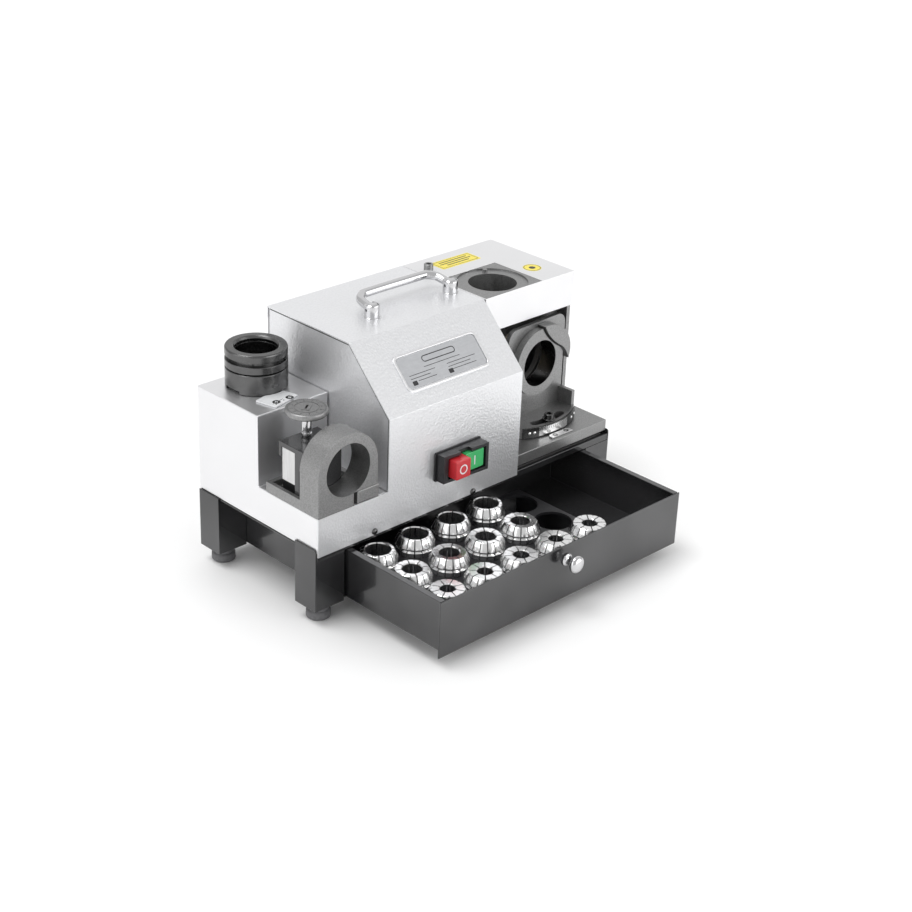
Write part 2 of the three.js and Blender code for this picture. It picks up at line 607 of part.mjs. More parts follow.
// ---------- Swivelling front port; built square, then turned to its setting ----------
function addSwivel() {
  const swivel = new THREE.Group();
  swivel.position.set(SWIVEL[0], SWIVEL[1], 0);
  swivel.rotation.z = THREE.MathUtils.degToRad(SWIVEL_SETTING);
  machine.add(swivel);

  const face = -47.5; // front of the upright plate, measured from the swivel axis
  const thickness = 5;
  const half = 45.2;
  const foot = PLATE_TOP + GAP;
  const sectorTop = 27.7;
  const bore = [-2.5, 86.3];
  const ringRadius = 37;
  const ringFront = face - 8;
  const plateTop = 130;
  const corner = 12;

  const upright = new THREE.Shape();
  upright.moveTo(-half, foot);
  upright.lineTo(half, foot);
  upright.lineTo(half, plateTop - corner);
  upright.absarc(half - corner, plateTop - corner, corner, 0, Math.PI / 2);
  upright.lineTo(-half + corner, plateTop);
  upright.absarc(-half + corner, plateTop - corner, corner, Math.PI / 2, Math.PI);
  upright.closePath();

  const halfAngle = Math.asin(half / SECTOR_RADIUS);
  const sector = new THREE.Shape();
  sector.moveTo(half, face + thickness);
  sector.lineTo(-half, face + thickness);
  sector.absarc(0, 0, SECTOR_RADIUS, -Math.PI / 2 - halfAngle, -Math.PI / 2 + halfAngle);
  sector.closePath();
  const slotRadius = 73;
  const slotHalf = 4.6;
  const slotFrom = THREE.MathUtils.degToRad(-108.3);
  const slotTo = THREE.MathUtils.degToRad(-76.3);
  const slot = new THREE.Shape();
  slot.absarc(0, 0, slotRadius + slotHalf, slotFrom, slotTo);
  slot.absarc(slotRadius * Math.cos(slotTo), slotRadius * Math.sin(slotTo), slotHalf, slotTo, slotTo + Math.PI);
  slot.absarc(0, 0, slotRadius - slotHalf, slotTo, slotFrom, true);
  slot.absarc(slotRadius * Math.cos(slotFrom), slotRadius * Math.sin(slotFrom), slotHalf,
    slotFrom + Math.PI, slotFrom + 2 * Math.PI);
  sector.holes.push(slot);

  const gusset = box(half - 4.5, half, -67, face + 1, foot, sectorTop + 17);
  const back = face + thickness;
  const collar = cylinderY(...bore, PORT_RADIUS + 3.5, back - 1, back + 7, 32);
  add('swivel_bracket', cut(
    join(prismY(upright, face, back, 8), prismZ(sector, foot, sectorTop, 12), gusset, collar),
    cylinderY(...bore, PORT_RADIUS, face - 1, back + 8, 32),
    cylinderY(16.9, 123.3, 2, face - 1, back + 1, 12),
  ), 'cast_grey', swivel);

  const ring = cylinderY(bore[0], bore[1] + 1.5, ringRadius, ringFront, face - GAP, 36);
  const cam = new THREE.Shape();
  cam.moveTo(0, 127.6);
  cam.bezierCurveTo(3.6, 118.2, 15, 106.7, 26.3, 100.1);
  cam.bezierCurveTo(33.9, 95.4, 37.7, 89.6, 41.4, 80.7);
  cam.quadraticCurveTo(48.1, 100, 33.9, 115.4);
  cam.quadraticCurveTo(20.7, 128.9, 0, 127.6);
  cam.closePath();
  const camRoom = new THREE.Shape();
  camRoom.moveTo(-1.6, 127.5);
  camRoom.bezierCurveTo(2.2, 117.2, 13.6, 105.6, 25.4, 98.9);
  camRoom.bezierCurveTo(32.9, 94.2, 36.2, 88.5, 40.5, 77.7);
  camRoom.lineTo(60, 77.7);
  camRoom.lineTo(60, 140);
  camRoom.lineTo(-1.6, 140);
  camRoom.closePath();
  add('port_ring', cut(
    ring,
    cylinderY(...bore, PORT_RADIUS, ringFront - 1, face + 1, 32),
    prismY(camRoom, ringFront - 1, face + 1, 10),
  ), 'cast_grey', swivel);
  add('cam_plate', cut(
    prismY(cam, ringFront - 3, face - GAP, 10),
    cylinderY(...bore, PORT_RADIUS + 1, ringFront - 5, face + 1, 48),
  ), 'cast_grey', swivel);

  const stripInner = SECTOR_RADIUS + GAP;
  const stripHalf = THREE.MathUtils.degToRad(31);
  const strip = new THREE.Shape();
  strip.absarc(0, 0, stripInner + 1.6, -Math.PI / 2 - stripHalf, -Math.PI / 2 + stripHalf);
  strip.absarc(0, 0, stripInner, -Math.PI / 2 + stripHalf, -Math.PI / 2 - stripHalf, true);
  strip.closePath();
  add('scale_strip', prismZ(strip, foot + 0.5, sectorTop - 0.4, 12), 'black_oxide', swivel);

  const boltFoot = PLATE_TOP + GAP;
  const washer = sectorTop + GAP;
  const bolt = [
    [0, boltFoot], [3.2, boltFoot], [3.2, washer], [7.2, washer], [7.2, washer + 1.2], [5.4, washer + 1.4],
    [5.4, washer + 6], [4.8, washer + 6.6], [2.6, washer + 6.6], [2.6, washer + 3], [0, washer + 3],
  ];
  add('clamp_bolt', turned(bolt, 12).translate(SWIVEL[0], SWIVEL[1] - slotRadius, 0), 'black_oxide');

  const pointer = outline([[331, 9], [362.3, 9], [362.3, 14], [359, 16.4], [334, 16.4], [331, 14]]);
  add('pointer_plate', prismZ(pointer, PLATE_TOP + GAP, PLATE_TOP + 1.5), 'bright_steel');
}

// ---------- Drive ----------
function addDrive() {
  const body = cylinderX(SHAFT_Y, SHAFT_Z, 46, 112, 236, 24);
  const boss = cylinderX(SHAFT_Y, SHAFT_Z, 18, 235, 252, 16);
  const base = box(125, 225, SHAFT_Y - 34, SHAFT_Y + 34, 0, SHAFT_Z - 34);
  const bore = cylinderX(SHAFT_Y, SHAFT_Z, 7, 200, 260, 12);
  add('motor', cut(join(body, boss, base), bore), 'motor_paint');

  const shaft = [
    [0, 205], [6.5, 205], [6.5, 321], [14, 321], [14, 326], [5.9, 326], [5.9, 353],
    [9.5, 353], [9.5, 361], [0, 361],
  ];
  const alongX = (geometry) => geometry.rotateY(Math.PI / 2).translate(0, SHAFT_Y, SHAFT_Z);
  add('spindle', alongX(turned(shaft, 14)), 'bright_steel');
  const wheel = [
    [6.2, 326.3], [20, 326.3], [38, 330], [40, 330], [40, 346], [38, 346], [22, 342], [6.2, 342], [6.2, 326.3],
  ];
  add('grinding_wheel', alongX(turned(wheel, 24)), 'abrasive');
}

addStand();
addDrawerHousing();
addDrawer();
addCasing();
addNameplate();
addSwitch();
addHandle();
addSettingStation();
addSettingPlate();
addChuck();
addHead();
addSwivel();
addDrive();

// ---------- Origin at the centre of the bottom of the whole box ----------
const model = new THREE.Group();
model.add(machine);
model.updateMatrixWorld(true);
const bounds = new THREE.Box3().setFromObject(machine, true);
const centre = bounds.getCenter(new THREE.Vector3());
machine.position.set(-centre.x, -centre.y, -bounds.min.z);
model.updateMatrixWorld(true);

export default model;
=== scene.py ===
"""Looks of the drill bit sharpener: materials, detailed pieces, floor, lights and camera.

Pieces are drawn in millimetres in the machine frame of the CAD source (x = 0 at the casing's left
side, y = 0 at its front face, z = 0 on top of the stand) and moved to metres in the row frame.
"""
import math

import bmesh
import bpy
from mathutils import Matrix, Vector


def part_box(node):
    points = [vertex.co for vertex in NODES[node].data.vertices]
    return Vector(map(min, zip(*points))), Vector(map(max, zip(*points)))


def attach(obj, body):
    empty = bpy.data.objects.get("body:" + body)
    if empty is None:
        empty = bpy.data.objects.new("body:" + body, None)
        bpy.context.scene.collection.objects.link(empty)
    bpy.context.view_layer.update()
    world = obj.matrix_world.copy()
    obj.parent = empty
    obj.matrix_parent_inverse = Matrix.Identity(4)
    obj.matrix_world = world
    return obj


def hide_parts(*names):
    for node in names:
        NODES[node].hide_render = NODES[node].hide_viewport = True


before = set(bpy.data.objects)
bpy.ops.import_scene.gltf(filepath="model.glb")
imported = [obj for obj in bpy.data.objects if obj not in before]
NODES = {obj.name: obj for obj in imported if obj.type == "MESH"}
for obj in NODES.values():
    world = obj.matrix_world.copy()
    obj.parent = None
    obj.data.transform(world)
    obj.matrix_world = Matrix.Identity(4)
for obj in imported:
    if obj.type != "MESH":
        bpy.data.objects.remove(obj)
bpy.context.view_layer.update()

MM = 0.001
STAND_CORNER = Vector((0, 1.8, -7.6))  # lowest corner of the stand's top sheet in the machine frame
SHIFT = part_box("stand_top")[0] / MM - STAND_CORNER

CASING_TOP = 173.2
CASING_DEPTH = 182.6
SLOPE_FOOT_Z = 113.5  # where the front face turns into the slope
SLOPE_HEAD_Y = 59.2  # where the slope meets the top
NAMEPLATE = (179.6, 26.2, 139.9)  # its middle, on the slope
BLOCK_TOP = 112.1
SLAB_TOP = 37.2
PLATE_TOP = 15.2
GAP = 0.3
SWIVEL = (344, 101)
SWIVEL_SETTING = math.radians(3)
SWIVEL_FACE = -47.5  # front of the swivelling plate, measured from its axis
PORT = (-2.5, 86.3)  # centre of the front port's bore on that plate
PORT_RADIUS = 25.5
SECTOR_RADIUS = 81
CLAMP_RADIUS = 73  # of the clamp slot, from the swivel axis
CHUCK = (45.9, 147.5)
CHUCK_RADIUS = 31
BORE_RADIUS = 21
DIAL = (31.2, 53.9)
DIAL_TOP = 125
SETTING_PLATE = (25, 91.7)  # its lower left corner
SETTING_PLATE_ANGLE = 14  # degrees
RING = (37, 77.5)
TOP_PORT = (313.4, 90.8)
COLLET_TOP = -13
DECK_TOP = COLLET_TOP - 18
SEAT_RADIUS = 19.5
FIRST_COLLET = (66.4, -10.2)
COLLET_PITCH = (49.2, 48.5)


# ---------- Materials ----------
class Look:
    """A principled material that is built up step by step."""

    def __init__(self, name, colour, metallic=0.0, roughness=0.5, coat=0.0):
        self.material = bpy.data.materials.new(name)
        self.material.use_nodes = True
        tree = self.material.node_tree
        self.nodes = tree.nodes
        self.links = tree.links
        self.shader = self.nodes["Principled BSDF"]
        self.colour = (*colour, 1.0)
        self.shader.inputs["Base Color"].default_value = self.colour
        self.shader.inputs["Metallic"].default_value = metallic
        self.shader.inputs["Roughness"].default_value = roughness
        self.shader.inputs["Coat Weight"].default_value = coat
        self.shader.inputs["Coat Roughness"].default_value = 0.08
        self.place = self.nodes.new("ShaderNodeTexCoord").outputs["Object"]
        self.normal = None

    def noise(self, size, detail=3.0, stretch=(1, 1, 1)):
        """Noise whose features are about size millimetres wide, longer along a stretched axis."""
        mapping = self.nodes.new("ShaderNodeMapping")
        mapping.inputs["Scale"].default_value = [1 / s for s in stretch]
        self.links.new(self.place, mapping.inputs["Vector"])
        texture = self.nodes.new("ShaderNodeTexNoise")
        texture.inputs["Scale"].default_value = 1 / (size * MM)
        texture.inputs["Detail"].default_value = detail
        self.links.new(mapping.outputs["Vector"], texture.inputs["Vector"])
        return texture.outputs["Fac"]

    def ramp(self, value, low, high):
        """Stretches the middle of a noise value to low..high."""
        node = self.nodes.new("ShaderNodeMapRange")
        node.inputs["From Min"].default_value = 0.35
        node.inputs["From Max"].default_value = 0.65
        node.inputs["To Min"].default_value = low
        node.inputs["To Max"].default_value = high
        self.links.new(value, node.inputs["Value"])
        return node.outputs["Result"]

    def mottle(self, other, size, amount=1.0, stretch=(1, 1, 1)):
        """Blends the base colour towards another in patches."""
        mix = self.nodes.new("ShaderNodeMix")
        mix.data_type = "RGBA"
        mix.inputs["A"].default_value = self.colour
        mix.inputs["B"].default_value = (*other, 1.0)
        share = self.ramp(self.noise(size, stretch=stretch), 0.0, amount)
        self.links.new(share, mix.inputs["Factor"])
        self.links.new(mix.outputs["Result"], self.shader.inputs["Base Color"])
        return self

    def polish(self, low, high, size):
        """Lets the roughness drift between low and high."""
        value = self.ramp(self.noise(size), low, high)
        self.links.new(value, self.shader.inputs["Roughness"])
        return self

    def relief(self, height, depth, strength=1.0):
        """Adds a bump layer of depth millimetres on top of the earlier ones."""
        bump = self.nodes.new("ShaderNodeBump")
        bump.inputs["Distance"].default_value = depth * MM
        bump.inputs["Strength"].default_value = strength
        self.links.new(height, bump.inputs["Height"])
        if self.normal:
            self.links.new(self.normal, bump.inputs["Normal"])
        self.normal = bump.outputs["Normal"]
        self.links.new(self.normal, self.shader.inputs["Normal"])
        return self

    def pebbles(self, size):
        """Smooth rounded cells, as in hammertone paint."""
        texture = self.nodes.new("ShaderNodeTexVoronoi")
        texture.feature = "SMOOTH_F1"
        texture.inputs["Scale"].default_value = 1 / (size * MM)
        texture.inputs["Smoothness"].default_value = 0.6
        self.links.new(self.place, texture.inputs["Vector"])
        return texture.outputs["Distance"]


def make_looks():
    """The materials by name, each with some drift in colour or roughness."""
    looks = {}

    def look(name, *args, **kwargs):
        looks[name] = Look(name, *args, **kwargs)
        return looks[name]

    hammer = look("textured_silver", (0.78, 0.785, 0.80), 0.75, 0.36)
    hammer.mottle((0.85, 0.855, 0.87), 2.2, 0.7)
    hammer.relief(hammer.pebbles(2.2), 0.26, 0.7).relief(hammer.noise(0.9), 0.10, 0.6)

    satin = look("satin_silver", (0.82, 0.82, 0.83), 0.85, 0.28)
    satin.mottle((0.85, 0.85, 0.86), 60, 0.6)
    satin.polish(0.30, 0.34, 60)

    cast = look("cast_grey", (0.24, 0.24, 0.24), 0.85, 0.38)
    cast.mottle((0.33, 0.33, 0.33), 1.2, 0.9)
    cast.polish(0.32, 0.44, 2.5).relief(cast.noise(0.5, 5), 0.04, 0.7)

    sheet = look("black_sheet", (0.010, 0.010, 0.011), 0.4, 0.24, coat=0.7)
    # The large lighter patches on the black sheet are painted reflections.
    sheet.mottle((0.05, 0.05, 0.052), 110, 1.0)
    sheet.polish(0.18, 0.27, 60).relief(sheet.noise(5), 0.02, 0.2)

    oxide = look("black_oxide", (0.12, 0.12, 0.12), 1.0, 0.3)
    oxide.mottle((0.14, 0.14, 0.14), 12, 0.7).polish(0.24, 0.28, 16)

    chrome = look("chrome", (0.64, 0.64, 0.65), 1.0, 0.1)
    chrome.polish(0.06, 0.14, 8).relief(chrome.noise(4), 0.02, 0.2)

    steel = look("bright_steel", (0.86, 0.86, 0.86), 1.0, 0.27)
    steel.mottle((0.90, 0.90, 0.90), 8.0, 0.7).polish(0.19, 0.24, 10)

    plastic = look("dark_plastic", (0.018, 0.018, 0.02), 0.0, 0.38)
    plastic.polish(0.32, 0.46, 6).relief(plastic.noise(0.3), 0.03, 0.4)

    red = look("red_plastic", (0.55, 0.022, 0.03), 0.0, 0.32, coat=0.2)
    red.mottle((0.6, 0.03, 0.04), 6, 0.6).polish(0.28, 0.38, 5)

    green = look("green_plastic", (0.045, 0.42, 0.13), 0.0, 0.32, coat=0.2)
    green.mottle((0.06, 0.47, 0.16), 6, 0.6).polish(0.28, 0.38, 5)

    rubber = look("foot_rubber", (0.11, 0.11, 0.115), 0.0, 0.6)
    rubber.mottle((0.15, 0.15, 0.155), 3, 0.7).relief(rubber.noise(0.4), 0.04, 0.5)

    label = look("label_plate", (0.58, 0.59, 0.61), 0.85, 0.33)
    label.mottle((0.63, 0.64, 0.66), 1.5, 0.7, stretch=(12, 1, 1))
    label.polish(0.29, 0.37, 4).relief(label.noise(0.4), 0.006, 0.3)

    white = look("white_plate", (0.80, 0.81, 0.82), 0.1, 0.35)
    white.mottle((0.72, 0.73, 0.75), 4, 0.6).polish(0.3, 0.42, 5)

    motor = look("motor_paint", (0.06, 0.065, 0.07), 0.1, 0.45)
    motor.mottle((0.08, 0.085, 0.09), 6, 0.7).relief(motor.noise(1.0), 0.05, 0.5)

    grit = look("abrasive", (0.23, 0.19, 0.14), 0.0, 0.9)
    grit.mottle((0.36, 0.32, 0.26), 0.6, 1.0).relief(grit.noise(0.5, 6), 0.2, 0.9)

    ink = look("ink", (0.02, 0.02, 0.022), 0.0, 0.45)
    ink.mottle((0.03, 0.03, 0.032), 3, 0.6).polish(0.4, 0.52, 4)

    yellow = look("yellow_film", (0.80, 0.66, 0.04), 0.0, 0.34, coat=0.3)
    yellow.mottle((0.84, 0.70, 0.07), 8, 0.6).polish(0.3, 0.4, 8)

    ground = look("ground_steel", (0.62, 0.62, 0.62), 0.95, 0.38)
    ground.mottle((0.7, 0.7, 0.7), 2, 0.8, stretch=(1, 1, 8)).polish(0.33, 0.44, 3)
    return looks


LOOKS = make_looks()


# ---------- Shapes, in millimetres ----------
def piece_of(name, bm):
    """Turns a bmesh into an object of the scene."""
    bmesh.ops.recalc_face_normals(bm, faces=bm.faces)
    mesh = bpy.data.meshes.new(name)
    bm.to_mesh(mesh)
    bm.free()
    piece = bpy.data.objects.new(name, mesh)
    bpy.context.scene.collection.objects.link(piece)
    return piece


def arc(centre, radius, start, end, steps):
    """Points along an arc, from start to end in degrees."""
    points = []
    for i in range(steps + 1):
        angle = math.radians(start + (end - start) * i / steps)
        points.append((centre[0] + radius * math.cos(angle), centre[1] + radius * math.sin(angle)))
    return points


def circle(centre, radius, sides=96):
    return arc(centre, radius, 0, 360, sides)[:-1]


def bezier(a, b, c, d, steps=24):
    """Points along a cubic curve, both ends included."""
    points = []
    for i in range(steps + 1):
        t = i / steps
        weights = ((1 - t) ** 3, 3 * t * (1 - t) ** 2, 3 * t * t * (1 - t), t ** 3)
        points.append(tuple(sum(w * p[k] for w, p in zip(weights, (a, b, c, d))) for k in (0, 1)))
    return points


def rounded(x0, x1, y0, y1, radius, steps=8):
    """A rectangle with rounded corners."""
    points = []
    corners = ((x1, y1, 0), (x0, y1, 90), (x0, y0, 180), (x1, y0, 270))
    for x, y, start in corners:
        centre_x = x - math.copysign(radius, x - (x0 + x1) / 2)
        centre_y = y - math.copysign(radius, y - (y0 + y1) / 2)
        points += arc((centre_x, centre_y), radius, start, start + 90, steps)
    return points


def prism(name, points, low, high, axis="z"):
    """An outline that runs from low to high along an axis: (x, y) for z, (x, z) for y, (y, z) for x."""
    spots = {
        "z": lambda u, v, w: (u, v, w),
        "y": lambda u, v, w: (u, w, v),
        "x": lambda u, v, w: (w, u, v),
    }
    bm = bmesh.new()
    ends = [[bm.verts.new(spots[axis](u, v, level)) for u, v in points] for level in (low, high)]
    bm.faces.new(ends[0])
    bm.faces.new(ends[1])
    count = len(points)
    for i in range(count):
        j = (i + 1) % count
        bm.faces.new((ends[0][i], ends[0][j], ends[1][j], ends[1][i]))
    return piece_of(name, bm)


def block(name, x, y, z):
    outline = [(x[0], y[0]), (x[1], y[0]), (x[1], y[1]), (x[0], y[1])]
    return prism(name, outline, z[0], z[1])


def lathe(name, profile, sides=96, ring=False):
    """Turns [radius, height] points about the vertical axis. A ring's last point joins its first."""
    bm = bmesh.new()
    turns = [2 * math.pi * i / sides for i in range(sides)]
    rows = []
    for radius, height in profile:
        around = turns if radius > 0 else [0]
        rows.append([bm.verts.new((radius * math.cos(a), radius * math.sin(a), height)) for a in around])
    pairs = list(zip(rows, rows[1:]))
    if ring:
        pairs.append((rows[-1], rows[0]))
    for low, high in pairs:
        for i in range(sides):
            j = (i + 1) % sides
            corners = (low[i % len(low)], low[j % len(low)], high[j % len(high)], high[i % len(high)])
            bm.faces.new(list(dict.fromkeys(corners)))
    return piece_of(name, bm)


def tube(name, points, radius, sides):
    """A round bar along a path of points."""
    path = [Vector(p) for p in points]
    bm = bmesh.new()
    rows = []
    side = None
    for i, point in enumerate(path):
        along = (path[min(i + 1, len(path) - 1)] - path[max(i - 1, 0)]).normalized()
        side = Vector((0, 0, 1)) if side is None else side
        side = (side - along * side.dot(along)).normalized()
        across = along.cross(side)
        turns = [2 * math.pi * k / sides for k in range(sides)]
        spokes = [(side * math.cos(a) + across * math.sin(a)) * radius for a in turns]
        rows.append([bm.verts.new(point + spoke) for spoke in spokes])
    bm.faces.new(rows[0])
    bm.faces.new(rows[-1])
    for low, high in zip(rows, rows[1:]):
        for k in range(sides):
            j = (k + 1) % sides
            bm.faces.new((low[k], low[j], high[j], high[k]))
    return piece_of(name, bm)


def spline(points, steps=10):
    """A smooth path through points."""
    ends = [points[0], *points, points[-1]]
    path = []
    for a, b, c, d in zip(ends, ends[1:], ends[2:], ends[3:]):
        a, b, c, d = (Vector(p) for p in (a, b, c, d))
        for i in range(steps):
            t = i / steps
            path.append(0.5 * (2 * b + (c - a) * t + (2 * a - 5 * b + 4 * c - d) * t ** 2
                               + (3 * b - a - 3 * c + d) * t ** 3))
    return path + [Vector(points[-1])]


def bake(piece):
    """Makes the modifiers' result the piece's own mesh."""
    graph = bpy.context.evaluated_depsgraph_get()
    mesh = bpy.data.meshes.new_from_object(piece.evaluated_get(graph))
    piece.modifiers.clear()
    mesh.materials.clear()
    piece.data = mesh
    return piece


def combine(piece, others, operation):
    """Applies a boolean with each of the others, which are used up."""
    for other in others:
        modifier = piece.modifiers.new("combine", "BOOLEAN")
        modifier.operation = operation
        modifier.solver = "MANIFOLD"
        modifier.object = other
    bake(piece)
    for other in others:
        bpy.data.objects.remove(other)
    return piece


def carve(piece, *tools):
    return combine(piece, tools, "DIFFERENCE")


def weld(piece, *others):
    return combine(piece, others, "UNION")


def gather(name, pieces):
    """Joins separate closed shells into one piece."""
    bm = bmesh.new()
    for piece in pieces:
        bm.from_mesh(piece.data)
        bpy.data.objects.remove(piece)
    return piece_of(name, bm)


def move(piece, x=0.0, y=0.0, z=0.0):
    piece.data.transform(Matrix.Translation((x, y, z)))
    return piece


def turn(piece, degrees, axis):
    piece.data.transform(Matrix.Rotation(math.radians(degrees), 4, axis))
    return piece


def on_swivel(piece):
    """Turns a piece drawn square about the swivel axis to the port's setting."""
    piece.data.transform(Matrix.Translation((*SWIVEL, 0)) @ Matrix.Rotation(SWIVEL_SETTING, 4, "Z"))
    return piece


# ---------- Finish of the pieces ----------
def soften(piece, edge, segments=2, crisp=32):
    """Rounds the edges sharper than crisp degrees and shades the curved faces smooth."""
    for face in piece.data.polygons:
        face.use_smooth = True
    piece.data.set_sharp_from_angle(angle=math.radians(crisp))
    bevel = piece.modifiers.new("edges", "BEVEL")
    bevel.width = edge * MM
    bevel.segments = segments
    bevel.limit_method = "ANGLE"
    bevel.angle_limit = math.radians(crisp)
    bevel.harden_normals = True
    bevel.use_clamp_overlap = True


def dress(name, look, edge=0.4, segments=2):
    """Gives a CAD node its material and soft edges."""
    node = NODES[name]
    node.data.materials.clear()
    node.data.materials.append(LOOKS[look].material)
    if "custom_normal" in node.data.attributes:
        node.data.attributes.remove(node.data.attributes["custom_normal"])
    merge = node.modifiers.new("merge", "WELD")
    merge.merge_threshold = 0.002 * MM
    flat = node.modifiers.new("flat", "DECIMATE")
    flat.decimate_type = "DISSOLVE"
    flat.angle_limit = math.radians(1)
    soften(node, edge, segments)


def publish(piece, body, look, *nodes, edge=0.3, slot=None, crisp=32):
    """Moves a finished piece to the row frame and hangs it on its body."""
    piece.data.transform(Matrix.Scale(MM, 4) @ Matrix.Translation(SHIFT))
    piece.data.materials.append(LOOKS[look].material)
    soften(piece, edge, crisp=crisp)
    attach(piece, body)
    if nodes:
        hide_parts(*nodes)


# ---------- Nodes that keep their CAD shape, and the painted shade in the cover's seam ---
def dress_cad():
    """Sheet metal, castings and the hidden drive, whose CAD shape is shown as it is."""
    dress("main_cover", "textured_silver", 0.4, 3)
    dress("left_housing", "satin_silver", 1.4, 4)
    dress("head_cover", "satin_silver", 0.5, 3)
    dress("rear_panel", "satin_silver", 0.25)
    dress("stand_top", "black_sheet", 0.7, 3)
    for row in ("front", "rear"):
        for side in ("left", "right"):
            dress(f"leg_{row}_{side}", "black_sheet", 0.5, 3)
    dress("drawer_housing", "black_sheet", 0.4)
    dress("drawer_tray", "black_sheet", 0.4)
    dress("drawer_front", "black_sheet", 0.6, 3)
    dress("base_plate", "cast_grey", 0.8)
    dress("head_casting", "cast_grey", 0.6)
    dress("stop_block", "cast_grey", 1.1, 3)
    dress("slide_guide", "black_sheet", 0.4)
    dress("slide_plate", "ground_steel", 0.3)
    dress("motor", "motor_paint", 1.0)
    dress("spindle", "bright_steel", 0.2)
    dress("grinding_wheel", "abrasive", 0.2)


def inset(points, distance):
    """Moves an open line to its right by a distance, with mitred corners."""
    line = [Vector(p) for p in points]
    moved = []
    for i, point in enumerate(line):
        before = point - line[i - 1] if i > 0 else line[1] - point
        after = line[i + 1] - point if i + 1 < len(line) else before
        normals = [Vector((d.y, -d.x)).normalized() for d in (before, after)]
        mitre = (normals[0] + normals[1]).normalized()
        moved.append(tuple(point + mitre * (distance / mitre.dot(normals[0]))))
    return moved


def add_cover_seam():
    """A dark strip along the joint where the cover's end wall meets the folded edge of the sheet: painted
    shade in the joint's gap.
    """
    edge = [(0, 38), (0, SLOPE_FOOT_Z), (SLOPE_HEAD_Y, CASING_TOP), (179, CASING_TOP)]
    joint = inset(edge, 1.6) + inset(edge, 3.1)[::-1]
    seam = prism("cover_seam_shade", joint, 88.9, 89.1, "x")
    publish(seam, "machine", "ink", slot="textured_silver", edge=0.02)


# ---------- Feet, drawer knob and cable gland ----------
def add_feet():
    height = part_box("foot_front_left")[1].z / MM
    profile = [
        (0, 0), (11.2, 0), (12.0, 0.8), (12.2, 1.8), (12.0, 7.4), (11.2, 8.6), (10.4, 9.2),
        (10.4, height - 2.5), (9.6, height - 1.6), (7.5, height - 1.3), (7.5, height), (0, height),
    ]
    for row in ("front", "rear"):
        for side in ("left", "right"):
            node = f"foot_{row}_{side}"
            low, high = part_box(node)
            middle = (low + high) / 2 / MM - SHIFT
            foot = lathe(f"{node}_turned", profile)
            move(foot, middle.x, middle.y, -SHIFT.z)
            publish(foot, "machine", "foot_rubber", node, edge=0.25)


def add_drawer_knob():
    profile = [
        (0, 0), (6.5, 0), (6.5, 1.2), (5.8, 1.9), (4.6, 2.6), (4.2, 3.6), (4.2, 7.8), (4.8, 8.9),
        (6.4, 9.8), (8.2, 11.0), (9.0, 12.6), (9.0, 14.0), (8.4, 15.4), (6.8, 16.8), (4.0, 17.8), (0, 18.2),
    ]
    knob = turn(lathe("drawer_knob_turned", profile), 90, "X")
    low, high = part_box("drawer_knob")
    middle = (low + high) / 2 / MM - SHIFT
    move(knob, middle.x, high.y / MM - SHIFT.y, middle.z)
    publish(knob, "drawer", "chrome", "drawer_knob", edge=0.2)


def add_cable_gland():
    profile = [
        (0, 0), (9, 0), (9, 4), (7, 5), (7, 6.5), (6.4, 7), (7, 7.5), (7, 9), (6.4, 9.5), (7, 10), (7, 11),
        (5.5, 14), (4.5, 14), (4.5, 3), (0, 3),
    ]
    gland = turn(lathe("cable_gland_turned", profile, 64), -90, "X")
    low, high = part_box("cable_gland")
    middle = (low + high) / 2 / MM - SHIFT
    move(gland, middle.x, low.y / MM - SHIFT.y, middle.z)
    publish(gland, "machine", "dark_plastic", "cable_gland", edge=0.2)


# ---------- Collets and their rack ----------
def star(arms, half_width, reach, first=0.0):
    """Outline of a many-armed cross, which cuts all the slots of a collet at once."""
    points = []
    step = 360 / arms
    inner = half_width / math.sin(math.radians(step / 2))
    for k in range(arms):
        angle = math.radians(first + k * step)
        along = Vector((math.cos(angle), math.sin(angle)))
        across = Vector((-along.y, along.x))
        points.append(tuple(along * reach - across * half_width))
        points.append(tuple(along * reach + across * half_width))
        notch = math.radians(first + (k + 0.5) * step)
        points.append((inner * math.cos(notch), inner * math.sin(notch)))
    return points


def collet(name, bore, spin):
    """A slotted spring collet on the vertical axis, turned by spin degrees."""
    bottom = COLLET_TOP - 45
    rim = COLLET_TOP - 8
    shoulder = rim - 4
    foot = 20 - (shoulder - bottom) * math.tan(math.radians(8))
    profile = [
        (bore, bottom + 0.6), (bore + 0.6, bottom), (foot - 0.8, bottom), (foot, bottom + 0.8),
        (20, shoulder - 0.6), (19.6, shoulder), (18.2, shoulder), (18.2, rim - 1), (20.2, rim - 1),
        (20.5, rim - 0.6), (20.4, rim), (16.5, COLLET_TOP - 0.4), (16.0, COLLET_TOP),
        (bore + 0.9, COLLET_TOP), (bore, COLLET_TOP - 0.9),
    ]
    body = lathe(name, profile, ring=True)
    reach = 24
    front_slots = prism("slots", star(8, 0.55, reach, spin), bottom + 7, COLLET_TOP + 2)
    rear_slots = prism("slots", star(8, 0.55, reach, spin + 22.5), bottom - 2, COLLET_TOP - 1.6)
    rim_cuts = []
    for k in range(8):
        cut = block("cut", (14.6, reach), (-0.5, 0.5), (rim - 3, COLLET_TOP + 1))
        rim_cuts.append(turn(cut, spin + 22.5 + 45 * k, "Z"))
    return carve(body, front_slots, rear_slots, gather("cuts", rim_cuts))


def seat(column, row):
    """Middle of a collet's place in the rack."""
    return FIRST_COLLET[0] + column * COLLET_PITCH[0], FIRST_COLLET[1] - row * COLLET_PITCH[1]


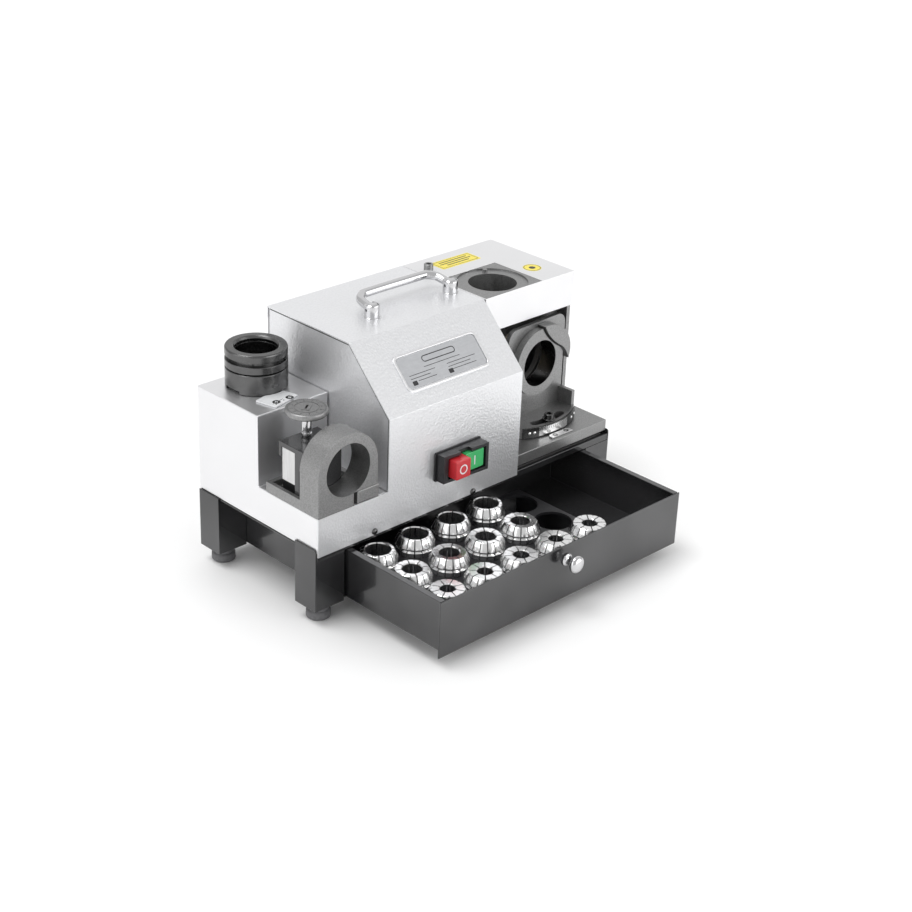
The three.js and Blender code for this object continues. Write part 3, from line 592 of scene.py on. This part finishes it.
def add_collets():
    row_bore = (12.5, 9.8, 7.4)
    for row, count in enumerate((4, 4, 5)):
        for column in range(count):
            node = f"collet_{'abcde'[column]}{row + 1}"
            bore = row_bore[row] + 0.25 * (column % 3)
            spin = 7 + 17 * column + 11 * row  # each collet was dropped in at its own angle
            piece = collet(f"{node}_slotted", bore, spin)
            move(piece, *seat(column, row))
            publish(piece, "drawer", "bright_steel", node, edge=0.15, crisp=20)


def add_rack():
    low, high = (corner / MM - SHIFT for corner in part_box("collet_rack"))
    deck = block("collet_rack_drilled", (low.x, high.x), (low.y, high.y), (DECK_TOP - 3, DECK_TOP))
    legs = [
        block("leg", (low.x, low.x + 2), (low.y, high.y), (low.z, DECK_TOP - 1)),
        block("leg", (high.x - 2, high.x), (low.y, high.y), (low.z, DECK_TOP - 1)),
    ]
    weld(deck, *legs)
    holes = []
    for row in range(3):
        for column in range(5):
            outline = circle(seat(column, row), SEAT_RADIUS)
            holes.append(prism("hole", outline, DECK_TOP - 5, DECK_TOP + 1))
    carve(deck, gather("holes", holes))
    publish(deck, "drawer", "dark_plastic", "collet_rack", edge=0.5)


# ---------- Screws ----------
def socket_head(name, radius, height, domed=False, socket=0.5):
    """A screw head standing on z = 0, with a hexagon socket."""
    if domed:
        profile = [(0, 0), (radius, 0), (radius, 0.15 * height)]
        for angle in (math.radians(a) for a in (25, 45, 62)):
            profile.append((radius * math.cos(angle), height * (0.15 + 0.85 * math.sin(angle))))
        profile += [(0.3 * radius, height), (0, height)]
    else:
        profile = [(0, 0), (radius, 0), (radius, height - 0.6), (radius - 0.6, height), (0, height)]
    head = lathe(name, profile, 48)
    hexagon = circle((0, 0), radius * socket, 6)
    return carve(head, prism("socket", hexagon, height * 0.35, height + 1))


def flat_head(name, radius):
    """A countersunk head with a cross recess, flush with z = 0."""
    profile = [(0, -1.2), (radius * 0.6, -1.2), (radius, 0), (radius * 0.94, 0.12), (0, 0.12)]
    head = lathe(name, profile, 40)
    cross = [prism("cross", rounded(-r, r, -s, s, 0.1, 2), -0.7, 1)
             for r, s in ((radius * 0.55, radius * 0.14), (radius * 0.14, radius * 0.55))]
    return carve(head, *cross)


def add_casing_screws():
    for k, (x, z) in enumerate(((71, 0.5), (204.2, -0.6))):
        screw = turn(socket_head(f"front_screw_{k + 1}", 3.4, 2.6, domed=True), 90, "X")
        publish(move(screw, x, 0.02, z), "machine", "black_oxide", edge=0.1)
    spots = [(x, z) for x in (96, 261) for z in (12, 150)]
    for k, (x, z) in enumerate(spots):
        screw = turn(socket_head(f"rear_screw_{k + 1}", 3.4, 2.2, domed=True), -90, "X")
        publish(move(screw, x, CASING_DEPTH - 0.02, z), "machine", "black_oxide", edge=0.1)


def add_cover_screw():
    screw = move(socket_head("cap_screw_socket", 5, 7.6, socket=0.56), 282, 154.5, CASING_TOP)
    publish(screw, "machine", "cast_grey", "cap_screw", slot="black_oxide", edge=0.2)


# ---------- Nameplate with plain rules, and stickers with plain bars ----------
def slope_matrix():
    """Places a drawing (x across, y up the slope, z out of it) on the middle of the nameplate."""
    angle = math.atan2(CASING_TOP - SLOPE_FOOT_Z, SLOPE_HEAD_Y)
    return Matrix.Translation(NAMEPLATE) @ Matrix.Rotation(angle, 4, "X")


def add_nameplate():
    lean = slope_matrix()
    plate = prism("nameplate_plate", rounded(-52.5, 52.5, -16.7, 16.7, 4.5), 0.1, 1.1)
    plate.data.transform(lean)
    publish(plate, "machine", "label_plate", "nameplate", edge=0.2)

    rim = prism("nameplate_rim", rounded(-55.6, 55.6, -19.8, 19.8, 7), -0.3, 2.0)
    carve(rim, prism("inside", rounded(-53.0, 53.0, -17.2, 17.2, 5), -1, 3))
    rim.data.transform(lean)
    publish(rim, "machine", "satin_silver", slot="textured_silver", edge=0.8)

    printed = (1.05, 1.16)
    marks = []
    for y, spans in (
        (0.5, ((-24, 24),)),
        (-4.0, ((-46, -12), (4, 42))),
        (-7.5, ((-46, -20), (4, 34))),
        (-11.0, ((-38, -14), (8, 40))),
    ):
        marks += [block("mark", span, (y, y + 0.6), printed) for span in spans]
    for x in (-46, 2):
        marks.append(prism("mark", rounded(x, x + 6, -14.2, -9.6, 0.8, 3), *printed))
    band = prism("mark", rounded(-22, 22, 5, 12, 3.4), *printed)
    marks.append(carve(band, prism("inside", rounded(-21, 21, 6, 11, 2.4), 0, 3)))
    drawing = gather("nameplate_rules", marks)
    drawing.data.transform(lean)
    publish(drawing, "machine", "ink", slot="label_plate", edge=0.02)


def add_stickers():
    top = CASING_TOP
    film = (top - 0.02, top + 0.12)
    printed = (top + 0.08, top + 0.16)
    cut = (top, top + 1)

    oblong = prism("sticker_oblong", rounded(296, 352, 146, 168, 1.5, 4), *film)
    publish(oblong, "machine", "yellow_film", slot="satin_silver", edge=0.03)
    border = prism("sticker_oblong_border", rounded(298, 350, 148, 166, 1.2, 4), *printed)
    carve(border, prism("inside", rounded(298.7, 349.3, 148.7, 165.3, 0.8, 4), *cut))
    publish(border, "machine", "ink", slot="satin_silver", edge=0.01)
    bars = []
    for y, start, end in ((161, 304, 344), (156.6, 302, 346), (152.2, 308, 340)):
        bars.append(block("bar", (start, end), (y, y + 1.6), printed))
    publish(gather("sticker_oblong_bars", bars), "machine", "ink", slot="satin_silver", edge=0.01)

    centre = (373.5, 91.4)
    disc = prism("sticker_round", circle(centre, 10), *film)
    publish(disc, "machine", "yellow_film", slot="satin_silver", edge=0.03)
    rim = prism("sticker_round_border", circle(centre, 9.2), *printed)
    carve(rim, prism("inside", circle(centre, 8.5), *cut))
    publish(rim, "machine", "ink", slot="satin_silver", edge=0.01)
    core = prism("sticker_round_core", circle(centre, 3.6), *printed)
    publish(core, "machine", "ink", slot="satin_silver", edge=0.01)


# ---------- Switch ----------
def add_switch():
    body = prism("switch_frame", [(150.3, -1), (150.3, -12.3), (208.7, -15.5), (208.7, -1)], 29.6, 59)
    flange = prism("flange", rounded(148.2, 210.8, 28.4, 60.2, 2), -1.8, -GAP, "y")
    weld(body, flange)
    window = block("window", (156, 205.2), (-30, -3), (33, 55.8))
    notches = [prism("notch", rounded(172, 186, z - 4, z + 4, 2), -20, -9, "y") for z in (29.6, 59)]
    carve(body, window, *notches)
    publish(body, "machine", "dark_plastic", "switch_housing", edge=0.5)

    low, high = 34.6, 54.2
    stop = prism("stop_cap", rounded(158, 177.6, low, high, 1.2, 4), -22, -6.5, "y")
    publish(stop, "stop_button", "red_plastic", "stop_button", edge=0.6)
    centre = (167.8, 44.4)
    ring = prism("stop_mark", circle(centre, 5.2, 48), -22.1, -21.9, "y")
    carve(ring, prism("inside", circle(centre, 3.8, 48), -23, -21, "y"))
    publish(ring, "stop_button", "white_plate", slot="red_plastic", edge=0.02)

    start = prism("start_cap", rounded(178.4, 203.4, low, high, 1.2, 4), -14, -6.5, "y")
    publish(start, "start_button", "green_plastic", "start_button", edge=0.6)
    bar = prism("start_mark", rounded(190.2, 191.6, 39.4, 49.4, 0.5, 3), -14.1, -13.9, "y")
    publish(bar, "start_button", "white_plate", slot="green_plastic", edge=0.02)


# ---------- Carrying handle ----------
def add_handle():
    hinge_y, hinge_z = 95, 182
    spots = {"left": 149, "right": 256}
    for side, x in spots.items():
        profile = [
            (0, CASING_TOP), (8.2, CASING_TOP), (8.2, CASING_TOP + 0.8), (7.7, CASING_TOP + 1.3),
            (7.7, 185.2), (7.3, 186.5), (6.2, 187.3), (0, 187.5),
        ]
        post = move(lathe(f"handle_post_{side}_turned", profile), x, hinge_y)
        slot = block("slot", (x - 5, x + 5), (hinge_y - 5.9, hinge_y + 12), (hinge_z - 5.9, hinge_z + 12))
        pin_hole = prism("hole", circle((hinge_y, hinge_z), 1.4, 24), x - 9, x + 9, "x")
        carve(post, slot, pin_hole)
        publish(post, "machine", "chrome", f"handle_post_{side}", edge=0.3)
    left, right = spots.values()
    bend = [(0, 0, 0), (0, 10, 1.6), (2, 19, 3.4), (9, 25, 4.6), (20, 26.5, 5)]
    arm = [(left + x, hinge_y + y, hinge_z + z) for x, y, z in bend]
    other_arm = [(right - x, hinge_y + y, hinge_z + z) for x, y, z in bend]
    path = spline(arm + other_arm[::-1])
    bar = tube("handle_bar_bent", path, 4.6, 40)
    eyes = [prism("eye", circle((hinge_y, hinge_z), 5.4, 64), x - 4.7, x + 4.7, "x") for x in (left, right)]
    weld(bar, *eyes)
    publish(bar, "handle", "chrome", "handle_bar", edge=0.4)


# ---------- Setting station ----------
def add_setting_bracket():
    foot = SLAB_TOP + GAP
    base = block("setting_bracket_cast", (0, 76), (0, 77), (foot, 48))
    arch = [(RING[0] - 37, foot), (RING[0] + 37, foot)] + arc(RING, 37, 0, 180, 64)
    weld(base, prism("arch", arch, 0, 27, "y"))
    screw_holes = [prism("hole", circle(spot, 2.2, 32), 38, 44) for spot in ((12, 67.5), (60, 67.5))]
    carve(
        base,
        prism("bore", circle(RING, 27), -1, 28, "y"),
        block("pocket", (4.2, 70), (27, 72), (42, 49)),
        block("stop_room", (44, 81), (-1, 12), (foot - 1, 51.3)),
        *screw_holes,
    )
    publish(base, "machine", "cast_grey", "setting_bracket", edge=0.7)


def number_marks(top, radius, count, size):
    """Numbers around the dial, facing outwards."""
    marks = []
    for k in range(count):
        text = bpy.data.curves.new("number", "FONT")
        text.body = str(k)
        text.size = size
        text.align_x = "CENTER"
        text.align_y = "CENTER"
        text.extrude = 0.08
        lettering = bpy.data.objects.new("number", text)
        bpy.context.scene.collection.objects.link(lettering)
        graph = bpy.context.evaluated_depsgraph_get()
        mesh = bpy.data.meshes.new_from_object(lettering.evaluated_get(graph))
        bpy.data.objects.remove(lettering)
        piece = bpy.data.objects.new("number", mesh)
        mesh.transform(Matrix.Translation((radius, 0, top)) @ Matrix.Rotation(math.radians(-90), 4, "Z"))
        mesh.transform(Matrix.Rotation(2 * math.pi * k / count, 4, "Z"))
        marks.append(piece)
    return marks


def add_dial():
    top = DIAL_TOP
    disc_profile = [
        (0, top - 7.5), (9, top - 7.5), (9, top - 6), (19.6, top - 6), (20.3, top - 5.4), (20.6, top - 4.6),
        (20.6, top - 1.4), (20.3, top - 0.5), (19.6, top), (0, top),
    ]
    disc = lathe("dial_disc", disc_profile, 128)
    boss = turn(prism("boss", rounded(-6.5, 6.5, -4, 4, 1), top - 1, top + 0.6), 35, "Z")
    slot = turn(prism("slot", rounded(-4.5, 4.5, -1.1, 1.1, 0.4), top - 2, top + 2), 35, "Z")
    groove = prism("groove", circle((0, 0), 12.2), top - 0.5, top + 2)
    carve(groove, prism("island", circle((0, 0), 11.4), top - 2, top + 3))
    weld(disc, boss)
    carve(disc, slot, groove)
    publish(move(disc, *DIAL), "dial", "cast_grey", "setting_knob", edge=0.25)

    marks = []
    for k in range(60):
        length = 3.4 if k % 5 == 0 else 2.0
        mark = block("mark", (19.4 - length, 19.4), (-0.2, 0.2), (top - 0.2, top + 0.06))
        marks.append(turn(mark, 6 * k, "Z"))
    marks += number_marks(top, 14.2, 12, 3.0)
    publish(move(gather("dial_marks", marks), *DIAL), "dial", "ink", slot="cast_grey", edge=0.01)

    foot = 95.8
    stem_profile = [
        (0, foot), (4.4, foot), (4.4, foot + 0.6), (5.2, foot + 1.2), (5.2, foot + 3.4), (4.4, foot + 4.0),
        (4.4, foot + 4.8), (5.3, foot + 6.0), (5.3, top - 7.4), (0, top - 7.4),
    ]
    stem = move(lathe("dial_stem", stem_profile, 64), *DIAL)
    publish(stem, "dial", "chrome", slot="cast_grey", edge=0.2)


def add_setting_plate():
    bottom = BLOCK_TOP + GAP
    top = bottom + 1.2
    plate = prism("setting_plate_cut", rounded(0, 35, 0, 24.5, 1, 4), bottom, top)
    move(turn(plate, SETTING_PLATE_ANGLE, "Z"), *SETTING_PLATE)
    carve(plate, prism("chuck_room", circle(CHUCK, CHUCK_RADIUS + 0.5), bottom - 1, bottom + 3))
    publish(plate, "machine", "white_plate", "setting_plate", edge=0.15)
    for k, spot in enumerate(((32.4, 100.4), (49.1, 100.6))):
        screw = move(flat_head(f"setting_screw_{k + 1}", 4.0), *spot, top + 0.05)
        publish(screw, "machine", "black_oxide", slot="white_plate", edge=0.05)
    printed = (top - 0.03, top + 0.06)
    marks = []
    for k in range(5):
        spot = (5.0 + 6.0 * k, 3.6)
        marks.append(prism("mark", circle(spot, 0.8, 20), *printed))
    for x in (3, 12, 23):
        marks.append(block("mark", (x, x + 7), (6.0, 6.5), printed))
    drawing = turn(gather("setting_plate_marks", marks), SETTING_PLATE_ANGLE, "Z")
    move(drawing, *SETTING_PLATE)
    publish(drawing, "machine", "ink", slot="white_plate", edge=0.01)


# ---------- Collet chuck ----------
def add_chuck():
    foot = BLOCK_TOP + GAP
    neck = 149
    body_top = 133.5
    outer = CHUCK_RADIUS
    body = lathe("chuck_body_turned", [
        (BORE_RADIUS, foot), (30, foot), (outer, foot + 1), (outer, body_top - 0.7),
        (outer - 0.7, body_top), (25, body_top), (25, neck), (BORE_RADIUS, neck),
    ], 160, ring=True)
    carve(body, block("notch", (-outer - 5, -26), (-10, 10), (foot - 1, foot + 4)))
    publish(move(body, *CHUCK), "chuck", "black_oxide", "chuck_body", edge=0.3, crisp=20)

    foot = body_top + 1.2
    nut = lathe("chuck_nut_turned", [
        (25.3, foot), (30.4, foot), (outer, foot + 0.6), (outer, 141.8), (30.6, 142.3), (27, 142.3),
        (27, 146.5), (30.6, 146.5), (outer, 147), (outer, 152.9), (30.6, 153.9), (29.9, 154.6),
        (23.4, 154.6), (22.2, 153.9), (BORE_RADIUS, 152.2), (BORE_RADIUS, neck + GAP), (25.3, neck + GAP),
    ], 160, ring=True)
    slits = []
    for k in range(4):
        slit = block("slit", (-0.6, 0.6), (-28.5, -26), (142, 147))
        slits.append(turn(slit, 45 + 90 * k, "Z"))
    carve(nut, gather("slits", slits))
    publish(move(nut, *CHUCK), "chuck_nut", "black_oxide", "chuck_nut", edge=0.25, crisp=20)


# ---------- Top port ----------
def add_top_port():
    low, high = (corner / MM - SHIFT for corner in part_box("top_port_plate"))
    top = CASING_TOP - GAP
    floor = top - 1.6
    plate = block("top_port_plate_bored", (low.x, high.x), (low.y, high.y), (160, top))
    weld(plate, prism("collar", circle(TOP_PORT, 27.6), low.z, 161))
    pin_angle = math.radians(60)
    pin_spot = (TOP_PORT[0] + 31 * math.cos(pin_angle), TOP_PORT[1] + 31 * math.sin(pin_angle))
    carve(
        plate,
        prism("bore", circle(TOP_PORT, PORT_RADIUS), low.z - 1, top + 1),
        prism("ledge", circle(TOP_PORT, 37.3), floor, top + 1),
    )
    weld(plate, prism("pin", circle(pin_spot, 2.6, 48), floor - 1, top + 1.5))
    publish(plate, "machine", "cast_grey", "top_port_plate", edge=0.5)


# ---------- Swivelling front port ----------
def add_swivel_bracket():
    foot = PLATE_TOP + GAP
    half = 45.2
    top = 130
    corner = 12
    sector_top = 27.7
    back = SWIVEL_FACE + 5
    upright = [(-half, foot), (half, foot)]
    upright += arc((half - corner, top - corner), corner, 0, 90, 16)
    upright += arc((-half + corner, top - corner), corner, 90, 180, 16)
    plate = prism("swivel_bracket_cast", upright, SWIVEL_FACE, back, "y")
    spread = math.degrees(math.asin(half / SECTOR_RADIUS))
    sector = [(half, back), (-half, back)] + arc((0, 0), SECTOR_RADIUS, -90 - spread, -90 + spread, 48)
    weld(
        plate,
        prism("sector", sector, foot, sector_top),
        block("gusset", (half - 4.5, half), (-67, SWIVEL_FACE + 1), (foot, sector_top + 17)),
        prism("collar", circle(PORT, PORT_RADIUS + 3.5), back - 1, back + 7, "y"),
    )

    half_width = 4.6
    start, end = -108.3, -76.3
    first_tip, last_tip = arc((0, 0), CLAMP_RADIUS, start, end, 1)
    slot = arc((0, 0), CLAMP_RADIUS + half_width, start, end, 32)
    slot += arc(last_tip, half_width, end, end + 180, 16)[1:]
    slot += arc((0, 0), CLAMP_RADIUS - half_width, end, start, 32)[1:]
    slot += arc(first_tip, half_width, start + 180, start + 360, 16)[1:-1]
    carve(
        plate,
        prism("slot", slot, foot - 1, sector_top + 1),
        prism("bore", circle(PORT, PORT_RADIUS), SWIVEL_FACE - 1, back + 8, "y"),
        prism("hole", circle((16.9, 123.3), 2, 32), SWIVEL_FACE - 1, back + 1, "y"),
    )
    publish(on_swivel(plate), "swivel", "cast_grey", "swivel_bracket", edge=0.5)


def add_port_ring():
    front = SWIVEL_FACE - 8
    back = SWIVEL_FACE - GAP
    ring = prism("port_ring_bored", circle((PORT[0], PORT[1] + 1.5), 37, 128), front, back, "y")
    cam_room = bezier((-1.6, 127.5), (2.2, 117.2), (13.6, 105.6), (25.4, 98.9))
    cam_room += bezier((25.4, 98.9), (32.9, 94.2), (36.2, 88.5), (40.5, 77.7))[1:]
    cam_room += [(60, 77.7), (60, 140), (-1.6, 140)]
    carve(
        ring,
        prism("bore", circle(PORT, PORT_RADIUS), front - 1, back + 1, "y"),
        prism("cam_room", cam_room, front - 1, back + 1, "y"),
    )
    publish(on_swivel(ring), "swivel", "cast_grey", "port_ring", edge=0.4)

    cam = bezier((0, 127.6), (3.6, 118.2), (15, 106.7), (26.3, 100.1))
    cam += bezier((26.3, 100.1), (33.9, 95.4), (37.7, 89.6), (41.4, 80.7))[1:]
    cam += bezier((41.4, 80.7), (45.9, 93.6), (43.4, 105.1), (33.9, 115.4))[1:]
    cam += bezier((33.9, 115.4), (25.1, 124.4), (13.8, 128.5), (0, 127.6))[1:-1]
    lobe = prism("cam_plate_cut", cam, front - 3, back, "y")
    carve(lobe, prism("bore", circle(PORT, PORT_RADIUS + 1), front - 5, back + 1, "y"))
    publish(on_swivel(lobe), "swivel", "cast_grey", "cam_plate", edge=0.4)

    # A thin black sleeve just inside the port's bore: painted shade that makes the deep hole look dark.
    collar_end = SWIVEL_FACE + 12
    bore_shade = prism("port_bore_shade", circle(PORT, PORT_RADIUS + 0.1), front + 0.5, collar_end - 0.5, "y")
    carve(bore_shade, prism("inside", circle(PORT, PORT_RADIUS - 0.15), front - 1, collar_end + 1, "y"))
    publish(on_swivel(bore_shade), "swivel", "black_oxide", slot="cast_grey", edge=0.02)


def add_scale():
    foot = PLATE_TOP + GAP + 0.5
    top = 27.3
    inner = SECTOR_RADIUS + GAP
    outline = arc((0, 0), inner + 1.6, -121, -59, 64) + arc((0, 0), inner, -59, -121, 64)
    strip = on_swivel(prism("scale_strip_bent", outline, foot, top))
    publish(strip, "swivel", "black_oxide", "scale_strip", edge=0.15)
    face = arc((0, 0), inner + 1.75, -108, -78, 32) + arc((0, 0), inner + 1.5, -78, -108, 32)
    bright = on_swivel(prism("scale_face", face, foot + 1, top - 1))
    publish(bright, "swivel", "bright_steel", slot="black_oxide", edge=0.02)
    marks = []
    mark_top = top - 1.2
    for k in range(15):
        height = 5.0 if k % 5 == 2 else 2.8
        depth = (-inner - 1.82, -inner - 1.6)
        mark = block("mark", (-0.16, 0.16), depth, (mark_top - height, mark_top))
        marks.append(turn(mark, -17 + 2 * k, "Z"))
    publish(on_swivel(gather("scale_marks", marks)), "swivel", "ink", slot="black_oxide", edge=0.01)
    for k, angle in enumerate((-116, -112, -70, -63)):
        rivet = lathe(f"scale_rivet_{k + 1}", [(0, 0), (1.7, 0), (1.6, 0.5), (1.0, 0.9), (0, 1.05)], 32)
        turn(rivet, 90, "Y")
        move(rivet, inner + 1.55, 0, (foot + top) / 2)
        publish(on_swivel(turn(rivet, angle, "Z")), "swivel", "bright_steel", slot="black_oxide", edge=0.05)


def add_clamp_bolt():
    foot = PLATE_TOP + GAP
    washer = 28.0
    profile = [
        (0, foot), (3.2, foot), (3.2, washer), (7.2, washer), (7.2, washer + 1.1), (6.9, washer + 1.4),
        (5.4, washer + 1.4), (5.4, washer + 6.0), (4.8, washer + 6.6), (0, washer + 6.6),
    ]
    bolt = lathe("clamp_bolt_socket", profile, 64)
    carve(bolt, prism("socket", circle((0, 0), 3.1, 6), washer + 3, washer + 8))
    move(bolt, SWIVEL[0], SWIVEL[1] - CLAMP_RADIUS)
    publish(bolt, "clamp_bolt", "black_oxide", "clamp_bolt", edge=0.2)


def add_pointer():
    outline = [(331, 9), (362.3, 9), (362.3, 14), (359, 16.4), (334, 16.4), (331, 14)]
    top = PLATE_TOP + 1.5
    plate = prism("pointer_plate_cut", outline, PLATE_TOP + GAP, top)
    publish(plate, "machine", "ground_steel", "pointer_plate", slot="bright_steel", edge=0.2)
    for k, x in enumerate((338.6, 355.4)):
        screw = move(flat_head(f"pointer_screw_{k + 1}", 3.0), x, 12.6, top + 0.05)
        publish(screw, "machine", "black_oxide", slot="bright_steel", edge=0.05)


# ---------- Studio ----------
def add_floor():
    bm = bmesh.new()
    bmesh.ops.create_grid(bm, x_segments=1, y_segments=1, size=6.0)
    floor = piece_of("floor", bm)
    paint = Look("floor_paper", (0.92, 0.92, 0.92), 0.0, 0.55)
    paint.mottle((0.935, 0.935, 0.935), 400, 0.5)
    floor.data.materials.append(paint.material)
    floor.location.z = -0.0005


def add_soft_sun(name, towards, strength, spread):
    """A very wide sun, which lights from the given direction like a wall of softboxes."""
    lamp = bpy.data.lights.new(name, "SUN")
    lamp.energy = strength
    lamp.angle = math.radians(spread)
    holder = bpy.data.objects.new(name, lamp)
    bpy.context.scene.collection.objects.link(holder)
    holder.rotation_euler = Vector(towards).to_track_quat("Z", "Y").to_euler()


def add_lights():
    world = bpy.data.worlds.new("studio")
    world.use_nodes = True
    backdrop = world.node_tree.nodes["Background"]
    backdrop.inputs["Color"].default_value = (1, 1, 1, 1)
    backdrop.inputs["Strength"].default_value = 0.65
    bpy.context.scene.world = world
    add_soft_sun("rear_wall", (0.64, 0.63, 0.6), 0.3, 80)
    add_soft_sun("front_wall", (0.45, -0.88, 0.12), 1.6, 60)
    add_soft_sun("left_wall", (-0.9, 0.1, 0.25), 0.75, 60)
    add_soft_sun("ceiling", (-0.3, 0.2, 0.93), 1.3, 30)


def add_camera():
    azimuth, elevation, roll = (math.radians(a) for a in (-45.191, 26.275, -2.275))
    aim = Vector((-0.08633, -0.08289, 0.16777))
    distance = 1.71407
    back = Vector((
        math.sin(azimuth) * math.cos(elevation),
        -math.cos(azimuth) * math.cos(elevation),
        math.sin(elevation),
    ))
    level = Vector((math.cos(azimuth), math.sin(azimuth), 0))
    upright = back.cross(level)
    right = level * math.cos(roll) - upright * math.sin(roll)
    up = level * math.sin(roll) + upright * math.cos(roll)
    lens = bpy.data.cameras.new("camera")
    lens.lens = 71.98
    lens.sensor_width = 36
    lens.clip_start = 0.01
    camera = bpy.data.objects.new("camera", lens)
    bpy.context.scene.collection.objects.link(camera)
    turned = Matrix((right, up, back)).transposed()
    camera.matrix_world = Matrix.Translation(aim + back * distance) @ turned.to_4x4()
    bpy.context.scene.camera = camera


dress_cad()
add_cover_seam()
add_feet()
add_drawer_knob()
add_cable_gland()
add_collets()
add_rack()
add_casing_screws()
add_cover_screw()
add_nameplate()
add_stickers()
add_switch()
add_handle()
add_setting_bracket()
add_dial()
add_setting_plate()
add_chuck()
add_top_port()
add_swivel_bracket()
add_port_ring()
add_scale()
add_clamp_bolt()
add_pointer()
add_floor()
add_lights()
add_camera()
bpy.context.scene.view_settings.view_transform = "Standard"
